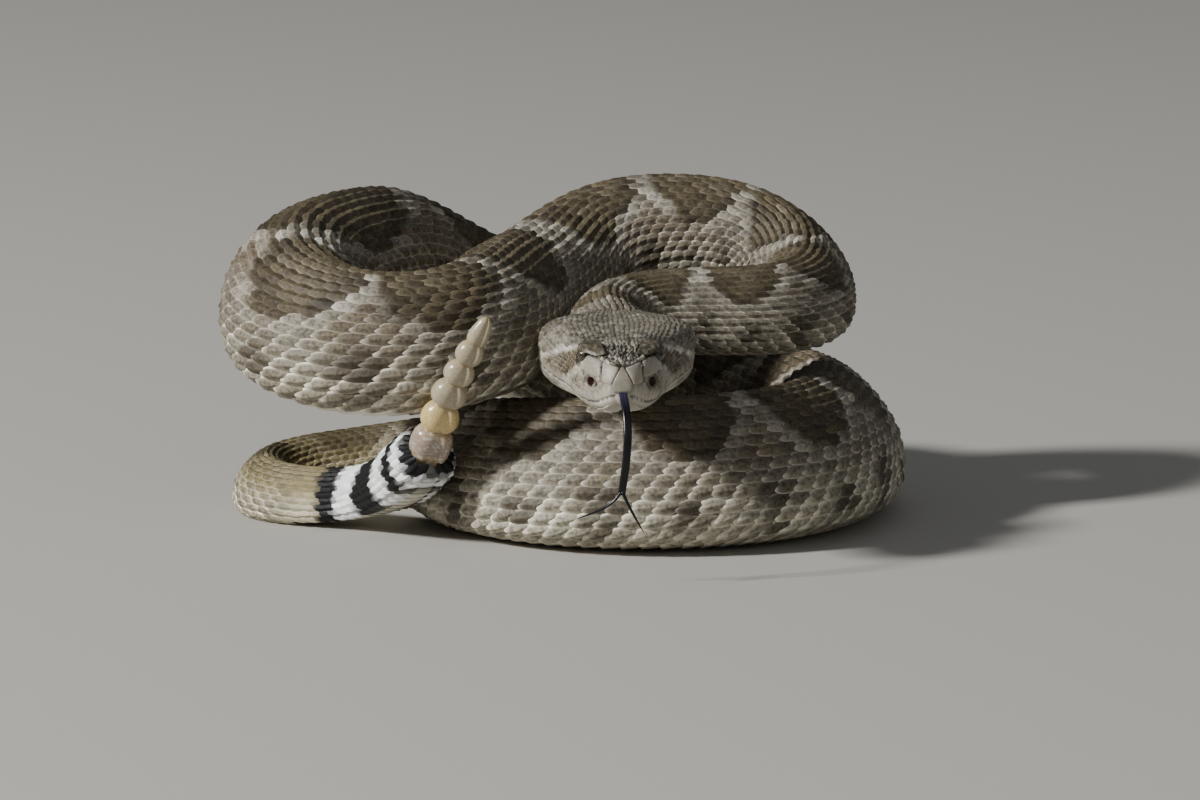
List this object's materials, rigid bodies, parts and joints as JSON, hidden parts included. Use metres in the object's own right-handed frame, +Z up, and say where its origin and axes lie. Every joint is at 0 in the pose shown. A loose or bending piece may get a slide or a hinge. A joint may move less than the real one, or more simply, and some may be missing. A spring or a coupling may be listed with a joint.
{
  "type": "rattlesnake",
  "caption": "Western diamondback rattlesnake in a raised defensive coil, head level and facing forward, tongue out, banded tail and rattle held up. Life-size still model.",
  "frame": {"origin": "middle of the animal's box, on the floor that it rests on", "axes": "+Z up; the head faces -Y; +X is to the right for someone who faces the head"},
  "size_m": [0.18, 0.1888, 0.0865],
  "materials": {
    "hide": "matte keeled scales",
    "tail": "matte scales, banded black and white",
    "eye": "wet gloss",
    "tongue": "moist gloss",
    "rattle": "smooth horn, satin"
  },
  "bodies": {
    "root": {"head": "hide", "lower_jaw": "hide", "eye_left": "eye", "eye_right": "eye", "tongue": "tongue", "neck": "hide", "trunk_1": "hide", "trunk_2": "hide", "trunk_3": "hide", "trunk_4": "hide", "trunk_5": "hide", "trunk_6": "hide", "trunk_7": "hide", "trunk_8": "hide", "trunk_9": "hide", "trunk_10": "hide", "trunk_11": "hide", "tail_base": "hide", "tail": "tail", "rattle_1": "rattle", "rattle_2": "rattle", "rattle_3": "rattle", "rattle_4": "rattle", "rattle_5": "rattle", "rattle_6": "rattle"}
  },
  "joints": []
}
